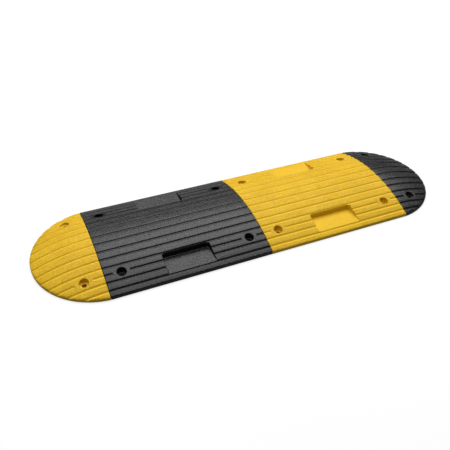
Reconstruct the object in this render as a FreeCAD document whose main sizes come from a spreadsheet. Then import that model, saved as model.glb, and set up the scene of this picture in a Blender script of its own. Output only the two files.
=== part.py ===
import FreeCAD, Part
import math
import os
import Sketcher

# A modular rubber speed bump: two straight modules between two half-round end caps, in one row along X.
# Millimetres. +Z is up, the road is z = 0, X runs along the row and Y across it, the way the traffic goes.
# The origin is under the middle of the row, where the two straight modules meet.
#
# Every module is one solid rubber moulding with an arched top. Round-bottomed tread grooves run along it.
# Steel dowels line the mouldings up at each seam, and a steel washer is moulded in under each bolt seat.

# Driving dimensions: name, value, what it is.
DIMENSIONS = [
    ("module_pitch", 500, "seam to seam along the row"),
    ("joint_gap", 1, "gap between two mouldings at a seam"),
    ("bump_width", 400, "across the row, edge to edge"),
    ("crown_height", 50, "top of the arch above the road"),
    ("edge_height", 10, "height of the arch where it meets the long edge"),
    ("edge_radius", 6, "rounding of the long edge"),
    ("cap_setback", 15.6, "middle of an end cap's round outline, behind its seam face"),
    ("groove_width", 7, "tread groove, across its mouth"),
    ("groove_depth", 3, "tread groove, below the arch"),
    ("crown_rib", 34, "groove to groove over the crown"),
    ("haunch_rib", 30, "groove to groove on the haunches"),
    ("edge_rib", 24, "groove to groove towards the edges"),
    ("recess_length", 150, "reflector recess, along the row"),
    ("recess_floor", 17, "reflector recess floor above the road"),
    ("recess_corner", 10, "inner corner radius of the recess"),
    ("hole_inset", 50, "bolt hole from the seam, straight modules"),
    ("cap_hole_inset", 58, "bolt hole from the seam, end caps"),
    ("bolt_hole", 14, "diameter through the moulding"),
    ("head_recess", 28, "diameter of the recess for the bolt head"),
    ("seat_height", 16, "bolt seat above the road"),
    ("land_length", 50, "stretch without a groove around each bolt hole"),
    ("washer_outside", 36, "moulded-in washer, outside diameter"),
    ("washer_thickness", 4, "moulded-in washer"),
    ("washer_cover", 3, "rubber between the seat and the washer"),
    ("dowel_diameter", 12, "seam dowel"),
    ("dowel_length", 80, "seam dowel"),
    ("dowel_chamfer", 1, "bevel at each end of a dowel"),
    ("dowel_spread", 140, "between the two dowels of a seam"),
    ("dowel_height", 20, "dowel axis above the road"),
    ("socket_clearance", 0.25, "dowel socket over the dowel, on the radius"),
    ("socket_spare", 1, "dowel socket beyond the dowel's end"),
]

# Formulas over the sheet's cells, each as the text that an expression takes.
RISE = "(dims.crown_height - dims.edge_height)"
ARCH_RADIUS = f"((dims.bump_width ^ 2 / 4 + {RISE} ^ 2) / (2 * {RISE}))"
ARCH_CENTRE = f"(dims.crown_height - {ARCH_RADIUS})"
GROOVE_RADIUS = "((dims.groove_width ^ 2 / 4 + dims.groove_depth ^ 2) / (2 * dims.groove_depth))"
GROOVE_REACH = f"({ARCH_RADIUS} - dims.groove_depth + {GROOVE_RADIUS})"
GROOVES = [
    "(dims.crown_rib / 2)",
    "(dims.crown_rib * 1.5)",
    "(dims.crown_rib * 1.5 + dims.haunch_rib)",
    "(dims.crown_rib * 1.5 + dims.haunch_rib * 2)",
    "(dims.crown_rib * 1.5 + dims.haunch_rib * 2 + dims.edge_rib)",
    "(dims.crown_rib * 1.5 + dims.haunch_rib * 2 + dims.edge_rib * 2)",
    "(dims.crown_rib * 1.5 + dims.haunch_rib * 2 + dims.edge_rib * 3)",
]
BOLT_GROOVE = GROOVES[4]
WHOLE_GROOVES = [groove for groove in GROOVES if groove != BOLT_GROOVE]
RECESS_WALL = GROOVES[3]
MODULE_LENGTH = "(dims.module_pitch - dims.joint_gap)"
MODULE_HOLE = "(dims.module_pitch / 2 - dims.hole_inset)"
CAP_RADIUS = "sqrt(dims.bump_width ^ 2 / 4 + dims.cap_setback ^ 2)"
CAP_EDGE = f"({ARCH_CENTRE} + sqrt({ARCH_RADIUS} ^ 2 - {CAP_RADIUS} ^ 2))"
CAP_HOLE = "(dims.cap_setback + dims.cap_hole_inset - dims.joint_gap / 2)"
WASHER_TOP = "(dims.seat_height - dims.washer_cover)"
SOCKET_RADIUS = "(dims.dowel_diameter / 2 + dims.socket_clearance)"
SOCKET_DEPTH = "(dims.dowel_length / 2 + dims.socket_spare - dims.joint_gap / 2)"
PAST_EDGE = "(dims.bump_width / 2 + dims.edge_radius)"

doc = FreeCAD.newDocument("speed_bump")


def make_sheet():
    """The spreadsheet of driving dimensions: name, value and note, each value under its name as an alias."""
    sheet = doc.addObject("Spreadsheet::Sheet", "dims")
    for row, (name, value, note) in enumerate(DIMENSIONS, start=1):
        sheet.set(f"A{row}", name)
        sheet.set(f"B{row}", str(value))
        sheet.setAlias(f"B{row}", name)
        sheet.set(f"C{row}", note)
    doc.recompute()
    return sheet


def number(formula):
    """The value of a formula over the sheet, used to draw a sketch near its solved place."""
    return float(sheet.evalExpression(formula))


def arch_height(across):
    """Formula: height of the groove circles' centre line at a distance across the row."""
    return f"({ARCH_CENTRE} + sqrt({GROOVE_REACH} ^ 2 - {across} ^ 2))"


# ---------------------------------------------------------------- sketch helpers


def origin_part(body, role):
    """One of the body's own origin planes or axes."""
    return next(feature for feature in body.Origin.OriginFeatures if feature.Role == role)


def new_sketch(body, name, plane, offset=None):
    """An empty sketch on an origin plane of the body, moved along the plane's normal by a formula."""
    sketch = body.newObject("Sketcher::SketchObject", name)
    sketch.AttachmentSupport = (origin_part(body, plane), [""])
    sketch.MapMode = "FlatFace"
    if offset:
        sketch.setExpression("AttachmentOffset.Base.z", offset)
    return sketch


def bind(sketch, kind, *arguments, formula, name):
    """A named dimension in the sketch, bound to a formula."""
    index = sketch.addConstraint(Sketcher.Constraint(kind, *arguments, number(formula)))
    sketch.renameConstraint(index, name)
    sketch.setExpression(f"Constraints.{name}", formula)


def add_circle(sketch, side, along, up, radius, name, up_side=1):
    """A circle whose centre and radius are bound to formulas."""
    centre = FreeCAD.Vector(side * number(along), up_side * number(up), 0)
    circle = sketch.addGeometry(Part.Circle(centre, FreeCAD.Vector(0, 0, 1), number(radius)))
    across = (-1, 1, circle, 3) if side > 0 else (circle, 3, -1, 1)
    upward = (-1, 1, circle, 3) if up_side > 0 else (circle, 3, -1, 1)
    bind(sketch, "DistanceX", *across, formula=along, name=f"{name}_along")
    bind(sketch, "DistanceY", *upward, formula=up, name=f"{name}_up")
    bind(sketch, "Radius", circle, formula=radius, name=f"{name}_radius")


def groove_circles(sketch, grooves):
    """The round tread grooves' section, on both sides of the crown, in a sketch across the row."""
    for place, across in enumerate(grooves, start=1):
        for side, word in ((-1, "front"), (1, "back")):
            add_circle(sketch, side, across, arch_height(across), GROOVE_RADIUS, f"{word}_{place}")


def cut(body, kind, name, sketch, length=None, up=False, symmetric=False):
    """A pocket: through everything unless a length formula is given, downwards unless up is set."""
    pocket = body.newObject(kind, name)
    pocket.Profile = sketch
    pocket.Reversed = up
    if symmetric:
        pocket.SideType = "Symmetric"
    if length:
        pocket.Type = "Length"
        pocket.setExpression("Length", length)
    else:
        pocket.Type = "ThroughAll"
    return pocket


def pocket(body, name, sketch, **options):
    return cut(body, "PartDesign::Pocket", name, sketch, **options)


def mirrored(body, name, feature, plane):
    """The feature again on the other side of an origin plane of the body."""
    copy = body.newObject("PartDesign::Mirrored", name)
    copy.Originals = [feature]
    copy.MirrorPlane = (origin_part(body, plane), [""])
    body.Tip = copy
    return copy


def edges_where(shape, test):
    """Names of the edges whose points all pass the test. The pole of a dome is an edge without length."""
    names = []
    for index, edge in enumerate(shape.Edges, start=1):
        if edge.Degenerated:
            continue
        if all(test(point) for point in edge.discretize(5)):
            names.append(f"Edge{index}")
    return names


def fillet(body, name, base, edges, radius):
    """Rounds the named edges of the base feature."""
    rounding = body.newObject("PartDesign::Fillet", name)
    rounding.Base = (base, edges)
    rounding.setExpression("Radius", radius)
    return rounding


# ---------------------------------------------------------------- rubber mouldings


def arch_sketch(body, plane):
    """The whole arched section of a straight module: flat base, two upright edges and one arc."""
    sketch = new_sketch(body, "arch_section", plane)
    half = number("dims.bump_width / 2")
    edge = number("dims.edge_height")
    crown = number("dims.crown_height")
    point = FreeCAD.Vector
    base = sketch.addGeometry(Part.LineSegment(point(-half, 0, 0), point(half, 0, 0)))
    back = sketch.addGeometry(Part.LineSegment(point(half, 0, 0), point(half, edge, 0)))
    arc = sketch.addGeometry(Part.Arc(point(half, edge, 0), point(0, crown, 0), point(-half, edge, 0)))
    front = sketch.addGeometry(Part.LineSegment(point(-half, edge, 0), point(-half, 0, 0)))
    for constraint in (
        ("Coincident", base, 2, back, 1),
        ("Coincident", back, 2, arc, 1),
        ("Coincident", arc, 2, front, 1),
        ("Coincident", front, 2, base, 1),
        ("Horizontal", base),
        ("Vertical", back),
        ("Vertical", front),
        ("Symmetric", base, 1, base, 2, -1, 1),
        ("PointOnObject", arc, 3, -2),
    ):
        sketch.addConstraint(Sketcher.Constraint(*constraint))
    bind(sketch, "DistanceX", base, 1, base, 2, formula="dims.bump_width", name="width")
    bind(sketch, "DistanceY", back, 1, back, 2, formula="dims.edge_height", name="edge")
    bind(sketch, "Radius", arc, formula=ARCH_RADIUS, name="arch")
    return sketch


def half_arch_sketch(body, plane):
    """Half of the arched section, from the crown to one edge, which a cap turns about an upright axis."""
    sketch = new_sketch(body, "half_arch_section", plane)
    half = number(CAP_RADIUS)
    edge = number(CAP_EDGE)
    crown = number("dims.crown_height")
    radius = number(ARCH_RADIUS)
    middle = math.asin(half / radius) / 2
    point = FreeCAD.Vector
    shoulder = point(radius * math.sin(middle), crown - radius + radius * math.cos(middle), 0)
    base = sketch.addGeometry(Part.LineSegment(point(0, 0, 0), point(half, 0, 0)))
    rim = sketch.addGeometry(Part.LineSegment(point(half, 0, 0), point(half, edge, 0)))
    arc = sketch.addGeometry(Part.Arc(point(half, edge, 0), shoulder, point(0, crown, 0)))
    axis = sketch.addGeometry(Part.LineSegment(point(0, crown, 0), point(0, 0, 0)))
    for constraint in (
        ("Coincident", base, 2, rim, 1),
        ("Coincident", rim, 2, arc, 1),
        ("Coincident", arc, 2, axis, 1),
        ("Coincident", axis, 2, base, 1),
        ("Coincident", base, 1, -1, 1),
        ("Horizontal", base),
        ("Vertical", rim),
        ("Vertical", axis),
        ("PointOnObject", arc, 3, -2),
    ):
        sketch.addConstraint(Sketcher.Constraint(*constraint))
    bind(sketch, "DistanceX", base, 1, base, 2, formula=CAP_RADIUS, name="radius")
    bind(sketch, "DistanceY", axis, 2, axis, 1, formula="dims.crown_height", name="crown")
    bind(sketch, "Radius", arc, formula=ARCH_RADIUS, name="arch")
    return sketch


def trim_sketch(body):
    """A rectangle wider and taller than an end cap, for cutting its seam face."""
    sketch = new_sketch(body, "trim_outline", "YZ_Plane")
    half = number(PAST_EDGE)
    high = number("dims.crown_height * 2")
    places = ((-half, -high), (half, -high), (half, high), (-half, high))
    corners = [FreeCAD.Vector(y, z, 0) for y, z in places]
    sides = []
    for start, end in zip(corners, corners[1:] + corners[:1]):
        sides.append(sketch.addGeometry(Part.LineSegment(start, end)))
    bottom, right, top, left = sides
    for one, next_one in zip(sides, sides[1:] + sides[:1]):
        sketch.addConstraint(Sketcher.Constraint("Coincident", one, 2, next_one, 1))
    sketch.addConstraint(Sketcher.Constraint("Horizontal", bottom))
    sketch.addConstraint(Sketcher.Constraint("Horizontal", top))
    sketch.addConstraint(Sketcher.Constraint("Vertical", right))
    sketch.addConstraint(Sketcher.Constraint("Symmetric", bottom, 1, top, 1, -1, 1))
    bind(sketch, "DistanceX", bottom, 1, bottom, 2, formula=f"{PAST_EDGE} * 2", name="width")
    bind(sketch, "DistanceY", right, 1, right, 2, formula="dims.crown_height * 4", name="height")
    return sketch


def recess_sketch(body):
    """Reflector recess, seen from above: a straight inner wall, round corners, open past the long edge."""
    sketch = new_sketch(body, "recess_outline", "XY_Plane", "dims.recess_floor")
    half = number("dims.recess_length / 2")
    wall = number(RECESS_WALL)
    outside = number(PAST_EDGE)
    corner = number("dims.recess_corner")

    def line(x0, y0, x1, y1):
        return sketch.addGeometry(Part.LineSegment(FreeCAD.Vector(x0, y0, 0), FreeCAD.Vector(x1, y1, 0)))

    def quarter(x, first_angle):
        circle = Part.Circle(FreeCAD.Vector(x, -wall - corner, 0), FreeCAD.Vector(0, 0, 1), corner)
        start, end = math.radians(first_angle), math.radians(first_angle + 90)
        return sketch.addGeometry(Part.ArcOfCircle(circle, start, end))

    outer = line(-half, -outside, half, -outside)
    right = line(half, -outside, half, -wall - corner)
    right_corner = quarter(half - corner, 0)
    inner = line(half - corner, -wall, corner - half, -wall)
    left_corner = quarter(corner - half, 90)
    left = line(-half, -wall - corner, -half, -outside)
    rounded = [right, right_corner, inner, left_corner, left]
    for one, next_one in zip(rounded, rounded[1:]):
        sketch.addConstraint(Sketcher.Constraint("Tangent", one, 2, next_one, 1))
    sketch.addConstraint(Sketcher.Constraint("Coincident", left, 2, outer, 1))
    sketch.addConstraint(Sketcher.Constraint("Coincident", outer, 2, right, 1))
    sketch.addConstraint(Sketcher.Constraint("Horizontal", outer))
    for upright in (right, left):
        sketch.addConstraint(Sketcher.Constraint("Vertical", upright))
    sketch.addConstraint(Sketcher.Constraint("Symmetric", inner, 1, inner, 2, -2))
    bind(sketch, "Radius", right_corner, formula="dims.recess_corner", name="right_corner")
    bind(sketch, "Radius", left_corner, formula="dims.recess_corner", name="left_corner")
    bind(sketch, "DistanceX", left, 1, right, 2, formula="dims.recess_length", name="length")
    bind(sketch, "DistanceY", inner, 1, -1, 1, formula=RECESS_WALL, name="wall")
    bind(sketch, "DistanceY", outer, 1, -1, 1, formula=PAST_EDGE, name="outside")
    return sketch


def washer_rings(body, places):
    """Closed ring-shaped cavities that the moulded-in washers fill."""
    sketch = new_sketch(body, "washer_rings", "XY_Plane", WASHER_TOP)
    for name, side, along, up_side in places:
        add_hole(sketch, name + "_outside", side, along, up_side, "dims.washer_outside / 2")
        add_hole(sketch, name + "_bore", side, along, up_side, "dims.bolt_hole / 2")
    pocket(body, "washer_cavities", sketch, length="dims.washer_thickness")


def add_hole(sketch, name, side, along, up_side, radius):
    """A circle for one bolt, on the line of the groove that the bolts share."""
    add_circle(sketch, side, along, BOLT_GROOVE, radius, name, up_side)


def bolt_holes(body, places):
    """Bolt holes right through, with a wider recess down to the seat for each bolt head."""
    through = new_sketch(body, "bolt_hole_circles", "XY_Plane")
    heads = new_sketch(body, "head_recess_circles", "XY_Plane", "dims.seat_height")
    for name, side, along, up_side in places:
        add_hole(through, name, side, along, up_side, "dims.bolt_hole / 2")
        add_hole(heads, name, side, along, up_side, "dims.head_recess / 2")
    pocket(body, "bolt_holes", through, up=True)
    pocket(body, "head_recesses", heads, up=True)


def dowel_sockets(body, face, into_minus_x):
    """Blind sockets for the two seam dowels, cut in from an end face at the formula face."""
    sketch = new_sketch(body, "dowel_socket_circles", "YZ_Plane", face)
    for side, word in ((-1, "front"), (1, "back")):
        add_circle(sketch, side, "(dims.dowel_spread / 2)", "dims.dowel_height", SOCKET_RADIUS, word)
    return pocket(body, "dowel_sockets", sketch, length=SOCKET_DEPTH, up=not into_minus_x)


MODULE_BOLTS = [
    ("left_front", -1, MODULE_HOLE, -1),
    ("right_front", 1, MODULE_HOLE, -1),
    ("left_back", -1, MODULE_HOLE, 1),
    ("right_back", 1, MODULE_HOLE, 1),
]


def straight_module(label, centre):
    """One straight module, centred on its own origin and placed along the row by a formula."""
    body = doc.addObject("PartDesign::Body", label)
    block = body.newObject("PartDesign::Pad", "block")
    block.Profile = arch_sketch(body, "YZ_Plane")
    block.SideType = "Symmetric"
    block.setExpression("Length", MODULE_LENGTH)
    doc.recompute()

    half_width = number("dims.bump_width / 2")
    edge_height = number("dims.edge_height")
    at_edge = edges_where(
        block.Shape,
        lambda p: abs(abs(p.y) - half_width) < 0.01 and abs(p.z - edge_height) < 0.01,
    )
    fillet(body, "long_edge_rounding", block, at_edge, "dims.edge_radius")
    doc.recompute()

    grooves = new_sketch(body, "groove_section", "YZ_Plane")
    groove_circles(grooves, WHOLE_GROOVES)
    pocket(body, "tread_grooves", grooves, symmetric=True)

    between = new_sketch(body, "bolt_line_section", "YZ_Plane")
    groove_circles(between, [BOLT_GROOVE])
    between_lands = f"2 * ({MODULE_HOLE} - dims.land_length / 2)"
    pocket(body, "bolt_line_groove", between, length=between_lands, symmetric=True)

    stub_start = f"({MODULE_HOLE} + dims.land_length / 2)"
    stub_section = new_sketch(body, "bolt_line_stub_section", "YZ_Plane", stub_start)
    groove_circles(stub_section, [BOLT_GROOVE])
    stub = pocket(body, "bolt_line_stub", stub_section, up=True)
    doc.recompute()
    mirrored(body, "bolt_line_stub_mirrored", stub, "YZ_Plane")
    doc.recompute()

    recess = pocket(body, "front_recess", recess_sketch(body), up=True)
    doc.recompute()
    mirrored(body, "recesses", recess, "XZ_Plane")
    doc.recompute()

    bolt_holes(body, MODULE_BOLTS)
    washer_rings(body, MODULE_BOLTS)
    sockets = dowel_sockets(body, f"{MODULE_LENGTH} / 2", into_minus_x=True)
    doc.recompute()
    mirrored(body, "dowel_sockets_mirrored", sockets, "YZ_Plane")
    body.setExpression("Placement.Base.x", centre)
    doc.recompute()
    return body


def turned_groove(body, name, grooves, sketch_turn, angle):
    """Grooves on the dome: the groove circles turned about the arch's own axis across the row.

    The sketch itself starts at the angle sketch_turn, in degrees, and is turned on from there.
    """
    sketch = new_sketch(body, name + "_section", "YZ_Plane")
    groove_circles(sketch, grooves)
    centre = number(ARCH_CENTRE)
    line = sketch.addGeometry(
        Part.LineSegment(FreeCAD.Vector(-10, centre, 0), FreeCAD.Vector(10, centre, 0)), True
    )
    sketch.addConstraint(Sketcher.Constraint("Symmetric", line, 1, line, 2, -2))
    sketch.addConstraint(Sketcher.Constraint("DistanceX", line, 1, line, 2, 20))
    bind(sketch, "DistanceY", line, 1, -1, 1, formula=f"-{ARCH_CENTRE}", name="axis_height")
    if sketch_turn:
        sketch.setExpression("AttachmentOffset.Rotation.Axis.x", "1")
        sketch.setExpression("AttachmentOffset.Rotation.Axis.y", "0")
        sketch.setExpression("AttachmentOffset.Rotation.Axis.z", "0")
        sketch.setExpression("AttachmentOffset.Rotation.Angle", f"-({sketch_turn})")
        sketch.setExpression("AttachmentOffset.Base.y", f"{ARCH_CENTRE} * (1 - cos({sketch_turn}))")
        sketch.setExpression("AttachmentOffset.Base.z", f"{ARCH_CENTRE} * sin({sketch_turn})")
    groove = body.newObject("PartDesign::Groove", name)
    groove.Profile = sketch
    groove.ReferenceAxis = (sketch, ["Axis0"])
    groove.Type = "Angle"
    groove.Reversed = True
    groove.setExpression("Angle", angle)
    return groove


CAP_BOLTS = [("front", -1, CAP_HOLE, -1), ("back", -1, CAP_HOLE, 1)]


def end_cap(label, seam, turned):
    """One end cap, a little under half a disc, whose top is part of a ball of the arch's radius.

    Its own origin is under the middle of the ball, and it reaches towards -X before it is placed.
    """
    body = doc.addObject("PartDesign::Body", label)
    dome = body.newObject("PartDesign::Revolution", "dome")
    dome.Profile = half_arch_sketch(body, "YZ_Plane")
    dome.ReferenceAxis = (origin_part(body, "Z_Axis"), [""])
    dome.Angle = 180
    doc.recompute()

    rim_radius = number(CAP_RADIUS)
    edge_height = number(CAP_EDGE)
    at_rim = edges_where(
        dome.Shape,
        lambda p: abs(math.hypot(p.x, p.y) - rim_radius) < 0.01 and abs(p.z - edge_height) < 0.01,
    )
    fillet(body, "rim_rounding", dome, at_rim, "dims.edge_radius")
    doc.recompute()
    pocket(body, "seam_face", trim_sketch(body), length="dims.cap_setback")

    past_rim = f"asin({PAST_EDGE} / {ARCH_RADIUS})"
    turned_groove(body, "tread_grooves", WHOLE_GROOVES, None, past_rim)
    bolt_line_reach = f"sqrt({GROOVE_REACH} ^ 2 - {BOLT_GROOVE} ^ 2)"
    land_start = f"asin(({CAP_HOLE} - dims.land_length / 2) / {bolt_line_reach})"
    land_end = f"asin(({CAP_HOLE} + dims.land_length / 2) / {bolt_line_reach})"
    turned_groove(body, "bolt_line_groove", [BOLT_GROOVE], None, land_start)
    turned_groove(body, "bolt_line_rim_groove", [BOLT_GROOVE], land_end, past_rim)
    doc.recompute()

    bolt_holes(body, CAP_BOLTS)
    washer_rings(body, CAP_BOLTS)
    dowel_sockets(body, "-dims.cap_setback", into_minus_x=True)
    body.setExpression("Placement.Base.x", seam)
    if turned:
        body.Placement.Rotation = FreeCAD.Rotation(FreeCAD.Vector(0, 0, 1), 180)
    doc.recompute()
    return body


# ---------------------------------------------------------------- steel pieces


def seam_dowel(label, seam, side):
    """A steel dowel along X, half of it in each moulding."""
    body = doc.addObject("PartDesign::Body", label)
    sketch = new_sketch(body, "dowel_circle", "YZ_Plane")
    circle = sketch.addGeometry(
        Part.Circle(FreeCAD.Vector(0, 0, 0), FreeCAD.Vector(0, 0, 1), number("dims.dowel_diameter / 2"))
    )
    sketch.addConstraint(Sketcher.Constraint("Coincident", circle, 3, -1, 1))
    bind(sketch, "Radius", circle, formula="dims.dowel_diameter / 2", name="radius")
    rod = body.newObject("PartDesign::Pad", "rod")
    rod.Profile = sketch
    rod.SideType = "Symmetric"
    rod.setExpression("Length", "dims.dowel_length")
    doc.recompute()
    end = number("dims.dowel_length / 2")
    bevel = body.newObject("PartDesign::Chamfer", "end_bevels")
    bevel.Base = (rod, edges_where(rod.Shape, lambda p: abs(abs(p.x) - end) < 0.01))
    bevel.setExpression("Size", "dims.dowel_chamfer")
    body.setExpression("Placement.Base.x", seam)
    body.setExpression("Placement.Base.y", f"{side} * dims.dowel_spread / 2")
    body.setExpression("Placement.Base.z", "dims.dowel_height")
    doc.recompute()
    return body


def bolt_washer(label, along, side):
    """A flat steel washer, moulded in under a bolt seat."""
    body = doc.addObject("PartDesign::Body", label)
    sketch = new_sketch(body, "washer_circles", "XY_Plane")
    for radius, name in (("dims.washer_outside / 2", "outside"), ("dims.bolt_hole / 2", "bore")):
        circle = sketch.addGeometry(
            Part.Circle(FreeCAD.Vector(0, 0, 0), FreeCAD.Vector(0, 0, 1), number(radius))
        )
        sketch.addConstraint(Sketcher.Constraint("Coincident", circle, 3, -1, 1))
        bind(sketch, "Radius", circle, formula=radius, name=name)
    disc = body.newObject("PartDesign::Pad", "disc")
    disc.Profile = sketch
    disc.setExpression("Length", "dims.washer_thickness")
    body.setExpression("Placement.Base.x", along)
    body.setExpression("Placement.Base.y", f"{side} * {BOLT_GROOVE}")
    body.setExpression("Placement.Base.z", f"{WASHER_TOP} - dims.washer_thickness")
    doc.recompute()
    return body


# ---------------------------------------------------------------- the row

sheet = make_sheet()
BLACK_CENTRE = "(-dims.module_pitch / 2)"
YELLOW_CENTRE = "(dims.module_pitch / 2)"
LEFT_SEAM = "(-dims.module_pitch)"
RIGHT_SEAM = "(dims.module_pitch)"

pieces = [
    end_cap("yellow_end_cap", f"{LEFT_SEAM} - dims.joint_gap / 2 + dims.cap_setback", turned=False),
    straight_module("black_module", BLACK_CENTRE),
    straight_module("yellow_module", YELLOW_CENTRE),
    end_cap("black_end_cap", f"{RIGHT_SEAM} + dims.joint_gap / 2 - dims.cap_setback", turned=True),
]

for seam_word, seam in (("left", LEFT_SEAM), ("middle", "0"), ("right", RIGHT_SEAM)):
    for side_word, side in (("front", -1), ("back", 1)):
        pieces.append(seam_dowel(f"dowel_{seam_word}_seam_{side_word}", seam, side))

BOLT_STATIONS = [
    ("yellow_cap", f"{LEFT_SEAM} - dims.cap_hole_inset"),
    ("black_left", f"{LEFT_SEAM} + dims.hole_inset"),
    ("black_right", "-dims.hole_inset"),
    ("yellow_left", "dims.hole_inset"),
    ("yellow_right", f"{RIGHT_SEAM} - dims.hole_inset"),
    ("black_cap", f"{RIGHT_SEAM} + dims.cap_hole_inset"),
]
for station, along in BOLT_STATIONS:
    for side_word, side in (("front", -1), ("back", 1)):
        pieces.append(bolt_washer(f"washer_{station}_{side_word}", along, side))

# ---------------------------------------------------------------- checks and export

doc.recompute()
failed = [item.Name for item in doc.Objects if "Invalid" in item.State or "Error" in item.State]
if failed:
    raise RuntimeError(f"these did not recompute: {failed}")
for piece in pieces:
    if piece.Shape.isNull() or not piece.Shape.isValid():
        raise RuntimeError(f"{piece.Label} has no valid shape")

os.makedirs("parts", exist_ok=True)
for piece in pieces:
    piece.Shape.exportStep(f"parts/{piece.Label}.step")
    print(f"{piece.Label}: {piece.Shape.Volume / 1000:.1f} cm3, {len(piece.Shape.Solids)} solid")
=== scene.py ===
# %% [markdown]
# # A rubber speed bump
#
# The object is a short row of moulded rubber: two straight modules with arched tops, closed at each end by a
# half-round cap. The mouldings alternate yellow and black. Tread grooves run along the whole row, each moulding
# has round recesses for its bolts, and each straight module has an open recess for a reflector on both sides.
#
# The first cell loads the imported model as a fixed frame. Everything made below is placed from that frame.

import math

import bmesh
import bpy
from mathutils import Matrix, Vector
from mathutils.geometry import delaunay_2d_cdt


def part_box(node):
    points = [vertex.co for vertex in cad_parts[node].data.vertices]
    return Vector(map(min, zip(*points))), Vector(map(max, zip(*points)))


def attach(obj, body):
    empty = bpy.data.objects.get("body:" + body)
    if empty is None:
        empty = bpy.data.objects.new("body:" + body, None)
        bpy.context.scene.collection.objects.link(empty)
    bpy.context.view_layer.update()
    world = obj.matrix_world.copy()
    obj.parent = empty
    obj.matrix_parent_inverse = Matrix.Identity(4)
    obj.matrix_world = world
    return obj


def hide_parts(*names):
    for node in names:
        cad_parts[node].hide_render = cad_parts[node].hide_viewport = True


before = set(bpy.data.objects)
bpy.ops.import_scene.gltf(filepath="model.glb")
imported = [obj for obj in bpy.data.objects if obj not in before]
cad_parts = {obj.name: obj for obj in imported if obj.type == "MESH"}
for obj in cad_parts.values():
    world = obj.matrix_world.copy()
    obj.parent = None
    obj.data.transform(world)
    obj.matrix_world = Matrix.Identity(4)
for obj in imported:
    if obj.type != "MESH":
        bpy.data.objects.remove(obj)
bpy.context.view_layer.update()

# %% [markdown]
# ## The camera
#
# The camera looks down on the row from the front left, with a slight roll. A camera's own axes are its columns:
# X to the right, Y up and Z backwards, so the rotation is built from those three directions. Building it this way
# keeps the roll apart from the direction, which a "track to" constraint wouldn't.

# %% Camera
CAMERA_PLACE = Vector((-0.6582, -1.2691, 1.1517))
CAMERA_AZIMUTH = math.radians(24.84)
CAMERA_DOWNWARD = math.radians(39.93)
CAMERA_ROLL = math.radians(2.08)
CAMERA_LENS = 44.55
SENSOR = 36.0


def aimed_camera(place, azimuth, downward, roll, lens):
    """A camera at a place, turned from +Y towards +X, tipped down and rolled about its own line of sight."""
    ahead = Vector((
        math.sin(azimuth) * math.cos(downward),
        math.cos(azimuth) * math.cos(downward),
        -math.sin(downward),
    ))
    level_right = ahead.cross(Vector((0, 0, 1))).normalized()
    level_up = level_right.cross(ahead)
    right = math.cos(roll) * level_right + math.sin(roll) * level_up
    up = math.cos(roll) * level_up - math.sin(roll) * level_right
    data = bpy.data.cameras.new("camera")
    data.lens = lens
    data.sensor_width = SENSOR
    data.clip_start, data.clip_end = 0.01, 50
    camera = bpy.data.objects.new("camera", data)
    bpy.context.scene.collection.objects.link(camera)
    camera.matrix_world = Matrix.Translation(place) @ Matrix((right, up, -ahead)).transposed().to_4x4()
    bpy.context.scene.camera = camera
    return camera


camera = aimed_camera(CAMERA_PLACE, CAMERA_AZIMUTH, CAMERA_DOWNWARD, CAMERA_ROLL, CAMERA_LENS)
print("camera at", [round(c, 3) for c in camera.location])

# %% [markdown]
# ## Sizes
#
# A mould maker works in millimetres, so the shapes below do too, and are scaled to metres when a mesh is made.
# Lengths that the frame knows, such as the width of a module or the place of a bolt, are read from it. The bolt
# holes sit on the moulded-in washers, so a washer's box gives a bolt's place.

# %% Sizes from the frame
MM = 0.001


def box_mm(node):
    """A node's lowest and highest corner in millimetres."""
    low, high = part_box(node)
    return Vector(low) / MM, Vector(high) / MM


def middle_mm(node):
    low, high = box_mm(node)
    return (low + high) / 2


module_low, module_high = box_mm("black_module")
MODULE_LENGTH = module_high.x - module_low.x
HALF_WIDTH = (module_high.y - module_low.y) / 2
CROWN = module_high.z
cap_low, cap_high = box_mm("yellow_end_cap")
CAP_LENGTH = cap_high.x - cap_low.x
CAP_RADIUS = (HALF_WIDTH ** 2 + CAP_LENGTH ** 2) / (2 * CAP_LENGTH)
CAP_TRIM = CAP_RADIUS - CAP_LENGTH
washer_low, washer_high = box_mm("washer_black_left_front")
WASHER_RADIUS = (washer_high.x - washer_low.x) / 2
print("module", round(MODULE_LENGTH, 2), "half width", round(HALF_WIDTH, 2), "crown", round(CROWN, 2))
print("cap", round(CAP_LENGTH, 2), "long, outline radius", round(CAP_RADIUS, 2), "cut back by", round(CAP_TRIM, 2))

# %% [markdown]
# ## The arch
#
# The top of a module is part of a cylinder lying along the row, and the top of a cap is part of a ball of the same
# radius, so that the two meet almost without a step. Both are one formula: the height over a point is the arch's
# centre plus the root of radius squared less the distance squared. The long edge is rounded by an arc that touches
# the arch and the upright edge.

# %% Arch
EDGE_HEIGHT = 10.0
EDGE_RADIUS = 6.0
RISE = CROWN - EDGE_HEIGHT
ARCH_RADIUS = (HALF_WIDTH ** 2 + RISE ** 2) / (2 * RISE)
ARCH_CENTRE = CROWN - ARCH_RADIUS
EDGE_ARC_Y = HALF_WIDTH - EDGE_RADIUS
EDGE_START = EDGE_ARC_Y * ARCH_RADIUS / (ARCH_RADIUS - EDGE_RADIUS)


def arch_height(distance):
    """Height of the plain arch at a distance from the crown line, or from the middle of a cap."""
    return ARCH_CENTRE + math.sqrt(ARCH_RADIUS ** 2 - distance ** 2)


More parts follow.
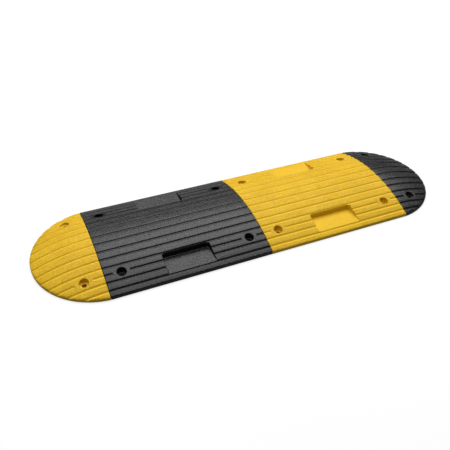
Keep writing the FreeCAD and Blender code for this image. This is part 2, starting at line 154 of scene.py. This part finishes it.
def edge_drop(distance, outline):
    """How far the rounded edge lies under the plain arch, for an outline that lies this far out."""
    arc_y = outline - EDGE_RADIUS
    if distance <= arc_y * ARCH_RADIUS / (ARCH_RADIUS - EDGE_RADIUS):
        return 0.0
    arc_z = ARCH_CENTRE + math.sqrt((ARCH_RADIUS - EDGE_RADIUS) ** 2 - arc_y ** 2)
    across = min(distance - arc_y, EDGE_RADIUS)
    rounded = arc_z + math.sqrt(max(EDGE_RADIUS ** 2 - across ** 2, 0.0))
    return arch_height(min(distance, outline)) - rounded


print("arch radius", round(ARCH_RADIUS, 1), "height at the edge", round(arch_height(HALF_WIDTH), 2))

# %% [markdown]
# ## The tread grooves
#
# Seven grooves lie on each side of the crown, further apart over the crown than near the edges. A groove is a round
# bottom with a small rounding at each lip, as a mould leaves it. Its section is two arcs that touch: one for the
# bottom, one for the lip. The line of the bolts shares the fifth groove, which fades out before each bolt.

# %% Groove section
GROOVE_WIDTH = 7.0
GROOVE_DEPTH = 3.0
LIP_RADIUS = 3.5
GROOVE_STEPS = [17, 34, 30, 30, 24, 24, 24]
GROOVES = [sum(GROOVE_STEPS[:count]) for count in range(1, len(GROOVE_STEPS) + 1)]
BOLT_LINE = GROOVES[4]
LAND_HALF = 25.0
FADE_LENGTH = 4.0

BOTTOM_RADIUS = ((GROOVE_WIDTH / 2) ** 2 + GROOVE_DEPTH ** 2) / (2 * GROOVE_DEPTH)
BOTTOM_LIFT = BOTTOM_RADIUS - GROOVE_DEPTH
LIP_PLACE = math.sqrt((BOTTOM_RADIUS + LIP_RADIUS) ** 2 - (BOTTOM_LIFT + LIP_RADIUS) ** 2)
LIP_TOUCH = LIP_PLACE * BOTTOM_RADIUS / (BOTTOM_RADIUS + LIP_RADIUS)


def section_depth(across):
    """Depth of a groove at a distance from its middle."""
    across = abs(across)
    if across < LIP_TOUCH:
        return math.sqrt(BOTTOM_RADIUS ** 2 - across ** 2) - BOTTOM_LIFT
    if across < LIP_PLACE:
        return LIP_RADIUS - math.sqrt(LIP_RADIUS ** 2 - (LIP_PLACE - across) ** 2)
    return 0.0


def groove_fade(along, bolts):
    """1 where a groove has its full depth, 0 on the lands round the bolts."""
    fade = 1.0
    for bolt in bolts:
        beyond = (abs(along - bolt) - LAND_HALF) / FADE_LENGTH
        if beyond <= 0:
            return 0.0
        if beyond < 1:
            fade = min(fade, math.sqrt(1 - (1 - beyond) ** 2))
    return fade


def groove_depth(along, across, bolts):
    """Depth of the tread at a point of a moulding whose bolts lie at these places along it."""
    nearest = min(GROOVES, key=lambda groove: abs(abs(across) - groove))
    depth = section_depth(abs(across) - nearest)
    if depth and nearest == BOLT_LINE:
        depth *= groove_fade(along, bolts)
    return depth


print("grooves at", GROOVES, "lip to lip", round(2 * LIP_PLACE, 2))

# %% [markdown]
# ## Drawing the plan
#
# A moulding could be cut out of a block with booleans and then bevelled, but bevels on a curved, grooved surface
# leave pinched faces. Instead each moulding is drawn as a plan, like a draughtsman's drawing: lines along every
# groove, rings round every bolt, and offsets of the recess outline. Blender's Delaunay triangulation turns the lines
# into triangles that keep every line as an edge, and each point is then lifted to its height. Lines lie close
# together where the surface bends and far apart where it is plain.

# %% Plan lines
RIM_RADIUS = 1.5
QUARTER = [0.0, 22.5, 45.0, 67.5, 90.0]
RIM_OFFSETS = [RIM_RADIUS * (1 - math.cos(math.radians(angle))) for angle in QUARTER]
WIDEST_STRIP = 7.0
WIDEST_EDGE_STRIP = 2.5
EDGE_ARC_STEPS = 5
RING_SEGMENTS = 64
BOTTOM_SHARES = (0, 0.4, 0.75, 1)
LIP_SHARES = (0.25, 0.5, 0.75, 1)


def quarter_drop(distance, radius):
    """How far a quarter-round lies under its flat, at a distance in from the wall."""
    if distance >= radius:
        return 0.0
    return radius - math.sqrt(max(radius ** 2 - (radius - max(distance, 0.0)) ** 2, 0.0))


def filled(places, widest):
    """The sorted places, with more between them wherever two are further apart than widest."""
    places = sorted(set(round(place, 4) for place in places))
    dense = [places[0]]
    for place in places[1:]:
        gap = place - dense[-1]
        steps = max(1, math.ceil(gap / widest - 1e-6))
        start = dense[-1]
        dense += [start + gap * step / steps for step in range(1, steps + 1)]
    return dense


def strip_places():
    """Where the plan has a line along the row, from one long edge to the other."""
    half_section = [LIP_TOUCH * share for share in BOTTOM_SHARES]
    half_section += [LIP_TOUCH + (LIP_PLACE - LIP_TOUCH) * share for share in LIP_SHARES]
    places = [0.0]
    for groove in GROOVES:
        for across in half_section:
            places += [groove - across, groove + across]
    start = math.asin((EDGE_START - EDGE_ARC_Y) / EDGE_RADIUS)
    for step in range(EDGE_ARC_STEPS + 1):
        angle = start + (math.pi / 2 - start) * step / EDGE_ARC_STEPS
        places.append(EDGE_ARC_Y + EDGE_RADIUS * math.sin(angle))
    half = filled(places, WIDEST_STRIP)
    past_grooves = [place for place in half if place > GROOVES[-1] + LIP_PLACE]
    half = sorted(set(half) | set(filled(past_grooves, WIDEST_EDGE_STRIP)))
    return [-place for place in reversed(half[1:])] + half


STRIPS = strip_places()
print(len(STRIPS), "lines along a moulding")


def ring(centre, radius):
    """A closed circle in plan."""
    turns = [2 * math.pi * k / RING_SEGMENTS for k in range(RING_SEGMENTS + 1)]
    return [(centre[0] + radius * math.cos(turn), centre[1] + radius * math.sin(turn)) for turn in turns]


# %% [markdown]
# ## Lifting the plan
#
# Every triangle belongs to one region: the tread, the floor of a reflector recess, a bolt seat, or the open hole.
# Where two regions meet, a point is lifted once for each of them, and the gap between the two heights becomes an
# upright wall. The same plan laid flat on the road closes the moulding underneath. Each bolt hole also opens into
# the slot that its moulded-in washer fills, so the steel shows in the hole as a thin ring.

# %% Bolt recess sizes
SEAT_HEIGHT = 16.0
HEAD_RADIUS = 14.0
BORE_RADIUS = 7.3
SEAT_FILLET = 1.0
FOOT_ANGLES = (90, 60, 30)
BOLT_RINGS = [BORE_RADIUS]
BOLT_RINGS += [HEAD_RADIUS - SEAT_FILLET * (1 - math.cos(math.radians(angle))) for angle in FOOT_ANGLES]
BOLT_RINGS += [HEAD_RADIUS + offset for offset in RIM_OFFSETS]
FADE_PLACES = [LAND_HALF + FADE_LENGTH * share for share in (0, 0.06, 0.25, 0.55, 1)]
SLOT_RADIUS = WASHER_RADIUS + 0.1
BORE_WALL = [
    (BORE_RADIUS, washer_high.z),
    (SLOT_RADIUS, washer_high.z),
    (SLOT_RADIUS, washer_low.z),
    (BORE_RADIUS, washer_low.z),
]


def bolt_lines(bolts):
    """Plan lines round each bolt: the rings of its recess, and where the bolt line's groove fades out."""
    lines = []
    for bolt_x, bolt_y in bolts:
        lines += [ring((bolt_x, bolt_y), radius) for radius in BOLT_RINGS]
        for away in FADE_PLACES:
            for x in (bolt_x - away, bolt_x + away):
                lines.append([(x, bolt_y - LIP_PLACE), (x, bolt_y + LIP_PLACE)])
    return lines


print(len(BOLT_RINGS), "rings round each bolt")

# %% Recess sizes
RECESS_HALF = 75.0
RECESS_FLOOR = 17.0
RECESS_WALL = GROOVES[3]
RECESS_CORNER = 10.0
RECESS_FILLET = 3.0
RECESS_RIM = 1.2
RECESS_CORNER_STEPS = 8
WITHIN_EDGE = 0.01


def recess_distance(along, across):
    """Signed distance in plan from the recess outline, negative inside. The outline is open to the long edge."""
    side = abs(along) - (RECESS_HALF - RECESS_CORNER)
    inward = (RECESS_WALL + RECESS_CORNER) - abs(across)
    outside = math.hypot(max(side, 0.0), max(inward, 0.0))
    inside = min(max(side, inward), 0.0)
    return outside + inside - RECESS_CORNER


def recess_offset(offset, side):
    """The recess outline moved out by an offset, as a line from the long edge in, round and back out."""
    reach = HALF_WIDTH - WITHIN_EDGE
    radius = RECESS_CORNER + offset
    corner_x = RECESS_HALF - RECESS_CORNER
    corner_y = RECESS_WALL + RECESS_CORNER
    half = [(corner_x + radius, reach)]
    for step in range(RECESS_CORNER_STEPS + 1):
        angle = math.pi / 2 * step / RECESS_CORNER_STEPS
        half.append((corner_x + radius * math.cos(angle), corner_y - radius * math.sin(angle)))
    whole = half + [(-x, y) for x, y in reversed(half)]
    return [(x, side * y) for x, y in whole]


# %% Lifted moulding
TREAD, FLOOR, SEAT, OPEN, UNDER = "tread", "floor", "seat", "open", "under"


class Moulding:
    """One rubber moulding: its plan lines, its bolts, and the formulas that lift it."""

    def __init__(self, bolts, domed, recessed):
        self.bolts = bolts
        self.domed = domed
        self.recessed = recessed
        self.bolts_along = sorted({x for x, y in bolts})
        self.lines = []

    def nearest_bolt(self, x, y):
        return min(self.bolts, key=lambda bolt: math.hypot(x - bolt[0], y - bolt[1]))

    def bolt_distance(self, x, y):
        bolt = self.nearest_bolt(x, y)
        return math.hypot(x - bolt[0], y - bolt[1])

    def seam_distance(self, x):
        return -CAP_TRIM - x if self.domed else MODULE_LENGTH / 2 - abs(x)

    def region(self, x, y):
        away = self.bolt_distance(x, y)
        if away < BORE_RADIUS:
            return OPEN
        if away < HEAD_RADIUS:
            return SEAT
        if self.recessed and recess_distance(x, y) < 0:
            return FLOOR
        return TREAD

    def plain_tread(self, x, y):
        """Height of the grooved arch, with its long edge and seam edges rounded."""
        depth = groove_depth(x, y, self.bolts_along)
        reach = math.sqrt(ARCH_RADIUS ** 2 - y ** 2) - depth
        if self.domed:
            height = ARCH_CENTRE + math.sqrt(reach ** 2 - x ** 2)
            height -= edge_drop(math.hypot(x, y), CAP_RADIUS)
        else:
            height = ARCH_CENTRE + reach - edge_drop(abs(y), HALF_WIDTH)
        return height - quarter_drop(self.seam_distance(x), RIM_RADIUS)

    def height(self, region, x, y):
        if region == UNDER:
            return 0.0
        if region == SEAT:
            return SEAT_HEIGHT + quarter_drop(HEAD_RADIUS - self.bolt_distance(x, y), SEAT_FILLET)
        top = self.plain_tread(x, y)
        wall = max(top - RECESS_FLOOR, 0.0)
        if region == FLOOR:
            foot = quarter_drop(-recess_distance(x, y), RECESS_FILLET) * min(1, wall / 2 / RECESS_FILLET)
            return min(top, RECESS_FLOOR + foot)
        top -= quarter_drop(self.bolt_distance(x, y) - HEAD_RADIUS, RIM_RADIUS)
        if self.recessed:
            top -= quarter_drop(recess_distance(x, y), RECESS_RIM) * min(1, wall / 2 / RECESS_RIM)
        return top

    def shade(self, region, x, y):
        """How much painted shade a point gets: its depth in a groove, from 0 on a rib to 1 at a groove's bottom, and
        0.5 on recess floors and bolt seats.
        """
        if region == TREAD:
            return groove_depth(x, y, self.bolts_along) / GROOVE_DEPTH
        # Recess floors and bolt seats get half the painted shade, the underside none.
        return 0.0 if region == UNDER else 0.5

    def triangles(self):
        """The plan's points and its triangles, each counter-clockwise seen from above."""
        points, edges = [], []
        for line in self.lines:
            start = len(points)
            points += [Vector(point) for point in line]
            edges += [(k, k + 1) for k in range(start, len(points) - 1)]
        placed, _, faces, _, _, _ = delaunay_2d_cdt(points, edges, [], 0, 0.01)
        return placed, [tuple(face) for face in faces]

    def mesh(self, name):
        """Lifts the plan to a closed mesh in metres."""
        placed, faces = self.triangles()
        corners, shades, polygons, index = [], [], [], {}

        def lifted(point, region):
            if (point, region) not in index:
                x, y = placed[point]
                index[point, region] = len(corners)
                corners.append((x * MM, y * MM, self.height(region, x, y) * MM))
                shades.append(self.shade(region, x, y))
            return index[point, region]

        def in_bore(point, radius, height):
            if (point, radius, height) not in index:
                x, y = placed[point]
                bolt = self.nearest_bolt(x, y)
                spread = radius / math.hypot(x - bolt[0], y - bolt[1])
                index[point, radius, height] = len(corners)
                corners.append((
                    (bolt[0] + (x - bolt[0]) * spread) * MM,
                    (bolt[1] + (y - bolt[1]) * spread) * MM,
                    height * MM,
                ))
                # Bolt hole walls get the full painted shade.
                shades.append(1.0)
            return index[point, radius, height]

        regions = []
        for face in faces:
            middle = sum((placed[k] for k in face), Vector((0, 0))) / 3
            regions.append(self.region(*middle))
        beside = {}
        for face, region in zip(faces, regions):
            for a, b in zip(face, face[1:] + face[:1]):
                beside[a, b] = region

        for face, region in zip(faces, regions):
            if region == OPEN:
                continue
            polygons.append([lifted(k, region) for k in face])
            polygons.append([lifted(k, UNDER) for k in reversed(face)])
            for a, b in zip(face, face[1:] + face[:1]):
                other = beside.get((b, a), UNDER)
                if other == region or (region != TREAD and other not in (OPEN, UNDER)):
                    continue
                steps = [(lifted(a, region), lifted(b, region))]
                if other == OPEN:
                    steps += [(in_bore(a, *at), in_bore(b, *at)) for at in BORE_WALL]
                    other = UNDER
                steps.append((lifted(a, other), lifted(b, other)))
                for (a_up, b_up), (a_down, b_down) in zip(steps, steps[1:]):
                    polygons.append([b_up, a_up, a_down, b_down])

        mesh = bpy.data.meshes.new(name)
        mesh.from_pydata(corners, [], polygons)
        # The painted shade is stored on the mesh for the material to read.
        shade = mesh.attributes.new("painted_hollow_shade", "FLOAT", "POINT")
        shade.data.foreach_set("value", shades)
        return mesh


# %% [markdown]
# ## The straight module
#
# The plan of a straight module is a rectangle. Its lines along the row are the tread, its lines across it are few,
# because the arch doesn't change along the row, and the bolts and recesses bring their own rings and offsets.

# %% Straight module plan
CROSS_SPACING = 31.0


def straight_moulding(bolts):
    """A straight module, measured from the middle of its plan."""
    half = MODULE_LENGTH / 2
    part = Moulding(bolts, domed=False, recessed=True)
    for y in STRIPS:
        part.lines.append([(-half, y), (half, y)])
    seam_places = [half - offset for offset in RIM_OFFSETS]
    for x in filled([-x for x in seam_places] + seam_places, CROSS_SPACING):
        part.lines.append([(x, -HALF_WIDTH), (x, HALF_WIDTH)])
    part.lines += bolt_lines(bolts)
    foot = [-RECESS_FILLET * (1 - math.cos(math.radians(angle))) for angle in FOOT_ANGLES]
    rim = [RECESS_RIM / RIM_RADIUS * offset for offset in RIM_OFFSETS]
    for offset in foot + rim:
        for side in (-1, 1):
            part.lines.append(recess_offset(offset, side))
    return part


# %% [markdown]
# ## The end cap
#
# The plan of a cap is a little less than half a disc, measured from the disc's middle, which lies just past the seam
# face. The circles of its rounded rim share their points with the lines of the tread, so the two kinds of line meet
# at corners and leave no slivers. Lines across it are closer together than on a straight module, because a ball
# bends both ways.

# %% End cap plan
CAP_SPACING = 6.5
RIM_STEP = 3.0
SHORTEST_STEP = 0.2
WITHIN_RIM = 0.2
TOUCH = 1e-6


def rim_circle(strip):
    """A circle of the rounded rim, from one end of the seam face round to the other, that starts at a tread line."""
    radius = strip + CAP_RADIUS - HALF_WIDTH
    inside = [y for y in STRIPS if abs(y) < strip - TOUCH]
    turns = filled([math.degrees(math.asin(y / radius)) for y in inside], RIM_STEP)
    start = math.degrees(math.acos(CAP_TRIM / radius))
    turns = [turn for turn in turns if abs(turn) < start - SHORTEST_STEP]
    turns = filled([-start] + turns + [start], RIM_STEP)[1:-1]
    around = [(-radius * math.cos(math.radians(turn)), radius * math.sin(math.radians(turn))) for turn in turns]
    return [(-CAP_TRIM, -strip)] + around + [(-CAP_TRIM, strip)]


def cap_moulding(bolts):
    """An end cap, measured from the middle of its outline."""
    part = Moulding(bolts, domed=True, recessed=False)
    for strip in STRIPS:
        if strip > EDGE_START - TOUCH:
            part.lines.append(rim_circle(strip))
    for y in STRIPS[1:-1]:
        part.lines.append([(-math.sqrt(CAP_RADIUS ** 2 - y ** 2), y), (-CAP_TRIM, y)])
    part.lines.append([(-CAP_TRIM, -HALF_WIDTH), (-CAP_TRIM, HALF_WIDTH)])
    for x in [CAP_TRIM + offset for offset in RIM_OFFSETS[1:]]:
        reach = math.sqrt(CAP_RADIUS ** 2 - x ** 2) - WITHIN_RIM
        part.lines.append([(-x, -reach), (-x, reach)])
    for x in filled([CAP_TRIM + RIM_RADIUS, EDGE_START - 4], CAP_SPACING)[1:]:
        reach = math.sqrt((EDGE_START - 1) ** 2 - x ** 2)
        part.lines.append([(-x, -reach), (-x, reach)])
    part.lines += bolt_lines(bolts)
    return part


# %% [markdown]
# ## Making the four mouldings
#
# The shapes are made once for each moulding and put where the frame has it. The black cap is the yellow one turned
# half round. Faces are shaded smooth, and an edge stays sharp only where two faces meet at a steep angle, as at the
# foot of a wall.

# %% Make the mouldings
SHARP_ANGLE = math.radians(48)
WELD = 1e-6


def finished(part, node, origin, turned=False):
    """The piece that stands for a rubber node: lifted, placed, welded and smooth-shaded."""
    mesh = part.mesh(node + "_rubber")
    turn = Matrix.Rotation(math.pi, 4, "Z") if turned else Matrix.Identity(4)
    mesh.transform(Matrix.Translation(Vector(origin) * MM) @ turn)
    work = bmesh.new()
    work.from_mesh(mesh)
    bmesh.ops.remove_doubles(work, verts=work.verts, dist=WELD)
    bmesh.ops.dissolve_degenerate(work, edges=work.edges, dist=WELD)
    open_edges = sum(1 for edge in work.edges if len(edge.link_faces) != 2)
    work.to_mesh(mesh)
    work.free()
    mesh.shade_smooth()
    mesh.set_sharp_from_angle(angle=SHARP_ANGLE)
    piece = bpy.data.objects.new(node + "_rubber", mesh)
    bpy.context.scene.collection.objects.link(piece)
    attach(piece, "root")
    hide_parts(node)
    print(piece.name, len(mesh.polygons), "faces,", open_edges, "open edges")
    return piece


def bolts_of(names, origin, turned=False):
    """Bolt places in a moulding's own plan, read from its washers."""
    sign = -1 if turned else 1
    places = [middle_mm(name) for name in names]
    return [(sign * (place.x - origin[0]), sign * (place.y - origin[1])) for place in places]


def washer_names(*stations):
    return [f"washer_{station}_{side}" for station in stations for side in ("front", "back")]


rubber = {}
for colour in ("black", "yellow"):
    node = colour + "_module"
    origin = (middle_mm(node).x, 0, 0)
    bolts = bolts_of(washer_names(colour + "_left", colour + "_right"), origin)
    rubber[node] = finished(straight_moulding(bolts), node, origin)

cap_seams = {"yellow": box_mm("yellow_end_cap")[1].x, "black": box_mm("black_end_cap")[0].x}
for colour, turned in (("yellow", False), ("black", True)):
    node = colour + "_end_cap"
    origin = (cap_seams[colour] + (-CAP_TRIM if turned else CAP_TRIM), 0, 0)
    bolts = bolts_of(washer_names(colour + "_cap"), origin, turned)
    rubber[node] = finished(cap_moulding(bolts), node, origin, turned)

# %% [markdown]
# ## Rubber
#
# Both mouldings are the same recycled rubber, one pressed with a yellow skin and one left black. Up close the skin is
# a fine pebble grain. From further off it is slightly mottled, and dust dulls it in broad patches. The material mixes
# those three scales of noise. A value stored on the mesh, how deep each point sits in the tread, paints shade into
# the grooves, darkest at their bottoms, half as much into the recess floors and bolt seats, and full shade onto the
# bolt hole walls. A stored value follows the shape exactly, where a texture painted onto it would have to be lined up
# by hand.


# %% Material helpers
def node_tools(material):
    """Short helpers that add and join nodes in a material."""
    material.use_nodes = True
    tree = material.node_tree
    tree.nodes.clear()

    def add(kind, **inputs):
        made = tree.nodes.new(kind)
        for key, value in inputs.items():
            made.inputs[key.replace("_", " ")].default_value = value
        return made

    return tree, add, tree.links.new


def noise(add, join, place, scale, detail=3.0, roughness=0.55):
    made = add("ShaderNodeTexNoise", Scale=scale, Detail=detail, Roughness=roughness)
    join(place, made.inputs["Vector"])
    return made.outputs["Fac"]


def ramp(add, join, factor, low, high, low_colour, high_colour):
    """A two-colour ramp between two values of a factor."""
    made = add("ShaderNodeValToRGB")
    made.color_ramp.elements[0].position = low
    made.color_ramp.elements[1].position = high
    made.color_ramp.elements[0].color = (*low_colour, 1)
    made.color_ramp.elements[1].color = (*high_colour, 1)
    join(factor, made.inputs["Fac"])
    return made.outputs["Color"]


def spread(add, join, factor, low, high):
    """A value that runs from low to high with a factor."""
    made = add("ShaderNodeMapRange")
    made.inputs["To Min"].default_value = low
    made.inputs["To Max"].default_value = high
    join(factor, made.inputs["Value"])
    return made


def mixed(add, join, kind, factor, first, second):
    """A colour mix. The factor may be a number or a socket."""
    made = add("ShaderNodeMix")
    made.data_type = "RGBA"
    made.blend_type = kind
    if isinstance(factor, (int, float)):
        made.inputs[0].default_value = factor
    else:
        join(factor, made.inputs[0])
    for socket, value in ((made.inputs[6], first), (made.inputs[7], second)):
        if isinstance(value, tuple):
            socket.default_value = (*value, 1)
        else:
            join(value, socket)
    return made.outputs[2]


# %% Rubber material
PEBBLE_SCALE = 620.0
MOTTLE_SCALE = 190.0
PATCH_SCALE = 14.0
MOTTLE_DEPTH = 0.0012
PEBBLE_DEPTH = 0.0003
ROUGHNESS_SPREAD = 0.13


def moulded_rubber(name, rib, rib_dull, groove, speck, roughness, sheen, grain):
    """Moulded rubber: rib colour, a duller patch colour, the colour of the painted shade in grooves, recesses and
    holes, and the colour of fine specks.
    """
    material = bpy.data.materials.new(name)
    tree, add, join = node_tools(material)
    place = add("ShaderNodeTexCoord").outputs["Object"]
    pebbles = noise(add, join, place, PEBBLE_SCALE, 2.0)
    mottle = noise(add, join, place, MOTTLE_SCALE, 4.0, 0.7)
    patches = noise(add, join, place, PATCH_SCALE, 3.0)

    colour = ramp(add, join, patches, 0.38, 0.66, rib_dull, rib)
    mottled = ramp(add, join, mottle, 0.40, 0.62, speck, (1, 1, 1))
    colour = mixed(add, join, "MULTIPLY", 0.75, colour, mottled)
    grainy = ramp(add, join, pebbles, 0.34, 0.60, (0.80, 0.80, 0.80), (1, 1, 1))
    colour = mixed(add, join, "MULTIPLY", 0.8, colour, grainy)
    # The stored value mixes in the groove colour as painted shade in the grooves, recess floors, bolt seats and bolt
    # holes.
    depth = add("ShaderNodeAttribute")
    depth.attribute_name = "painted_hollow_shade"
    colour = mixed(add, join, "MIX", depth.outputs["Fac"], colour, groove)

    shader = add("ShaderNodeBsdfPrincipled")
    join(colour, shader.inputs["Base Color"])
    rough = spread(add, join, mottle, roughness - ROUGHNESS_SPREAD, roughness + ROUGHNESS_SPREAD)
    rough.inputs["From Min"].default_value = 0.3
    rough.inputs["From Max"].default_value = 0.7
    join(rough.outputs["Result"], shader.inputs["Roughness"])
    shader.inputs["Specular IOR Level"].default_value = sheen

    coarse = add("ShaderNodeBump", Strength=grain, Distance=MOTTLE_DEPTH)
    join(mottle, coarse.inputs["Height"])
    fine = add("ShaderNodeBump", Strength=grain, Distance=PEBBLE_DEPTH)
    join(pebbles, fine.inputs["Height"])
    join(coarse.outputs["Normal"], fine.inputs["Normal"])
    join(fine.outputs["Normal"], shader.inputs["Normal"])
    join(shader.outputs["BSDF"], add("ShaderNodeOutputMaterial").inputs["Surface"])
    return material


# Each groove colour is the painted shade that is mixed into grooves, recess floors, bolt seats and bolt holes.
yellow_rubber = moulded_rubber(
    "yellow_rubber", rib=(0.86, 0.555, 0.024), rib_dull=(0.79, 0.495, 0.016), groove=(0.86, 0.525, 0.014),
    speck=(0.72, 0.65, 0.40), roughness=0.58, sheen=0.22, grain=0.9,
)
black_rubber = moulded_rubber(
    "black_rubber", rib=(0.020, 0.020, 0.021), rib_dull=(0.010, 0.010, 0.011), groove=(0.005, 0.005, 0.005),
    speck=(0.35, 0.35, 0.35), roughness=0.29, sheen=0.42, grain=0.9,
)
for node, piece in rubber.items():
    piece.data.materials.append(yellow_rubber if node.startswith("yellow") else black_rubber)
    print(node, "is", piece.data.materials[0].name)

# %% [markdown]
# ## Steel
#
# The seam dowels and the moulded-in washers are steel, and their frame nodes already have the right shape. They
# only need a finish: zinc with its faint cloudy bloom on the dowels, plain pressed steel on the washers.


# %% Steel materials
SCRATCH_DEPTH = 0.0001


def zinc_steel(name, light, dark, roughness, scale):
    """Steel with cloudy patches between a light and a dark colour, rougher where it is lighter."""
    material = bpy.data.materials.new(name)
    tree, add, join = node_tools(material)
    place = add("ShaderNodeTexCoord").outputs["Object"]
    clouds = noise(add, join, place, scale, 5.0, 0.6)
    shader = add("ShaderNodeBsdfPrincipled", Metallic=1.0)
    join(ramp(add, join, clouds, 0.35, 0.65, dark, light), shader.inputs["Base Color"])
    rough = spread(add, join, clouds, roughness - 0.1, roughness + 0.15)
    join(rough.outputs["Result"], shader.inputs["Roughness"])
    scratches = add("ShaderNodeBump", Strength=0.2, Distance=SCRATCH_DEPTH)
    join(clouds, scratches.inputs["Height"])
    join(scratches.outputs["Normal"], shader.inputs["Normal"])
    join(shader.outputs["BSDF"], add("ShaderNodeOutputMaterial").inputs["Surface"])
    return material


dowel_zinc = zinc_steel("dowel_zinc", (0.72, 0.73, 0.76), (0.52, 0.53, 0.55), 0.32, 180.0)
washer_steel = zinc_steel("washer_steel", (0.30, 0.295, 0.29), (0.18, 0.175, 0.17), 0.42, 260.0)
for name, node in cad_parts.items():
    if name.startswith(("dowel", "washer")):
        finish = dowel_zinc if name.startswith("dowel") else washer_steel
        node.data.materials.clear()
        node.data.materials.append(finish)
print("steel on", sum(name.startswith(("dowel", "washer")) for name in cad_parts), "pieces")

# %% [markdown]
# ## Floor and light
#
# The row lies on a plain white floor. One wide soft light hangs over it, a little behind, and a second one stands
# behind it and faces it, which gives the rubber a broad dull sheen over the crown and leaves the upright walls of
# the recesses in shade. The floor's own glow and the pale surround only keep the picture white: they don't light
# the object.

# %% Floor
FLOOR_SIZE = 60.0
FLOOR_DROP = 0.0004
FLOOR_WHITE = 0.32
FLOOR_GLOW = 0.68


def white_floor():
    """A large square just under the row, white in the picture."""
    mesh = bpy.data.meshes.new("floor")
    half = FLOOR_SIZE / 2
    corners = [(x, y, -FLOOR_DROP) for x, y in ((-half, -half), (half, -half), (half, half), (-half, half))]
    mesh.from_pydata(corners, [], [(0, 1, 2, 3)])
    floor = bpy.data.objects.new("floor", mesh)
    bpy.context.scene.collection.objects.link(floor)
    material = bpy.data.materials.new("floor_white")
    tree, add, join = node_tools(material)
    shader = add("ShaderNodeBsdfPrincipled", Roughness=0.9)
    shader.inputs["Base Color"].default_value = (FLOOR_WHITE, FLOOR_WHITE, FLOOR_WHITE, 1)
    shader.inputs["Specular IOR Level"].default_value = 0.0
    shader.inputs["Emission Color"].default_value = (1, 1, 1, 1)
    glow = add("ShaderNodeMath")
    glow.operation = "MULTIPLY"
    glow.inputs[1].default_value = FLOOR_GLOW
    join(add("ShaderNodeLightPath").outputs["Is Camera Ray"], glow.inputs[0])
    join(glow.outputs["Value"], shader.inputs["Emission Strength"])
    join(shader.outputs["BSDF"], add("ShaderNodeOutputMaterial").inputs["Surface"])
    mesh.materials.append(material)
    return floor


floor = white_floor()

# %% Light
SKY = 0.07
SURROUND = 0.8
TOP_PLACE, TOP_AIM = (0.0, 1.3, 4.0), (0.0, 1.3, 0.0)
TOP_WIDTH, TOP_HEIGHT, TOP_POWER = 6.0, 4.4, 215.0
BACK_PLACE, BACK_AIM = (1.7, 3.1, 3.9), (0.0, 0.0, 0.0)
BACK_WIDTH, BACK_HEIGHT, BACK_POWER = 8.0, 1.7, 155.0


def soft_light(name, place, aim, width, height, power):
    """A rectangular soft light that faces a point."""
    data = bpy.data.lights.new(name, "AREA")
    data.shape = "RECTANGLE"
    data.size = width
    data.size_y = height
    data.energy = power
    light = bpy.data.objects.new(name, data)
    light.location = place
    light.rotation_mode = "QUATERNION"
    light.rotation_quaternion = (Vector(aim) - Vector(place)).to_track_quat("-Z", "Y")
    bpy.context.scene.collection.objects.link(light)
    return light


def pale_surround(fill, seen):
    """A white surround that lights the object weakly and is seen as a pale wall."""
    world = bpy.data.worlds.new("surround")
    world.use_nodes = True
    nodes, join = world.node_tree.nodes, world.node_tree.links.new
    weak = nodes["Background"]
    weak.inputs["Color"].default_value = (1, 1, 1, 1)
    weak.inputs["Strength"].default_value = fill
    wall = nodes.new("ShaderNodeBackground")
    wall.inputs["Strength"].default_value = seen
    wall.inputs["Color"].default_value = (1, 1, 1, 1)
    choice = nodes.new("ShaderNodeMixShader")
    join(nodes.new("ShaderNodeLightPath").outputs["Is Camera Ray"], choice.inputs["Fac"])
    join(weak.outputs["Background"], choice.inputs[1])
    join(wall.outputs["Background"], choice.inputs[2])
    join(choice.outputs["Shader"], nodes["World Output"].inputs["Surface"])
    bpy.context.scene.world = world


pale_surround(SKY, SURROUND)
soft_light("top_light", TOP_PLACE, TOP_AIM, TOP_WIDTH, TOP_HEIGHT, TOP_POWER)
soft_light("back_light", BACK_PLACE, BACK_AIM, BACK_WIDTH, BACK_HEIGHT, BACK_POWER)
bpy.context.scene.view_settings.view_transform = "Standard"
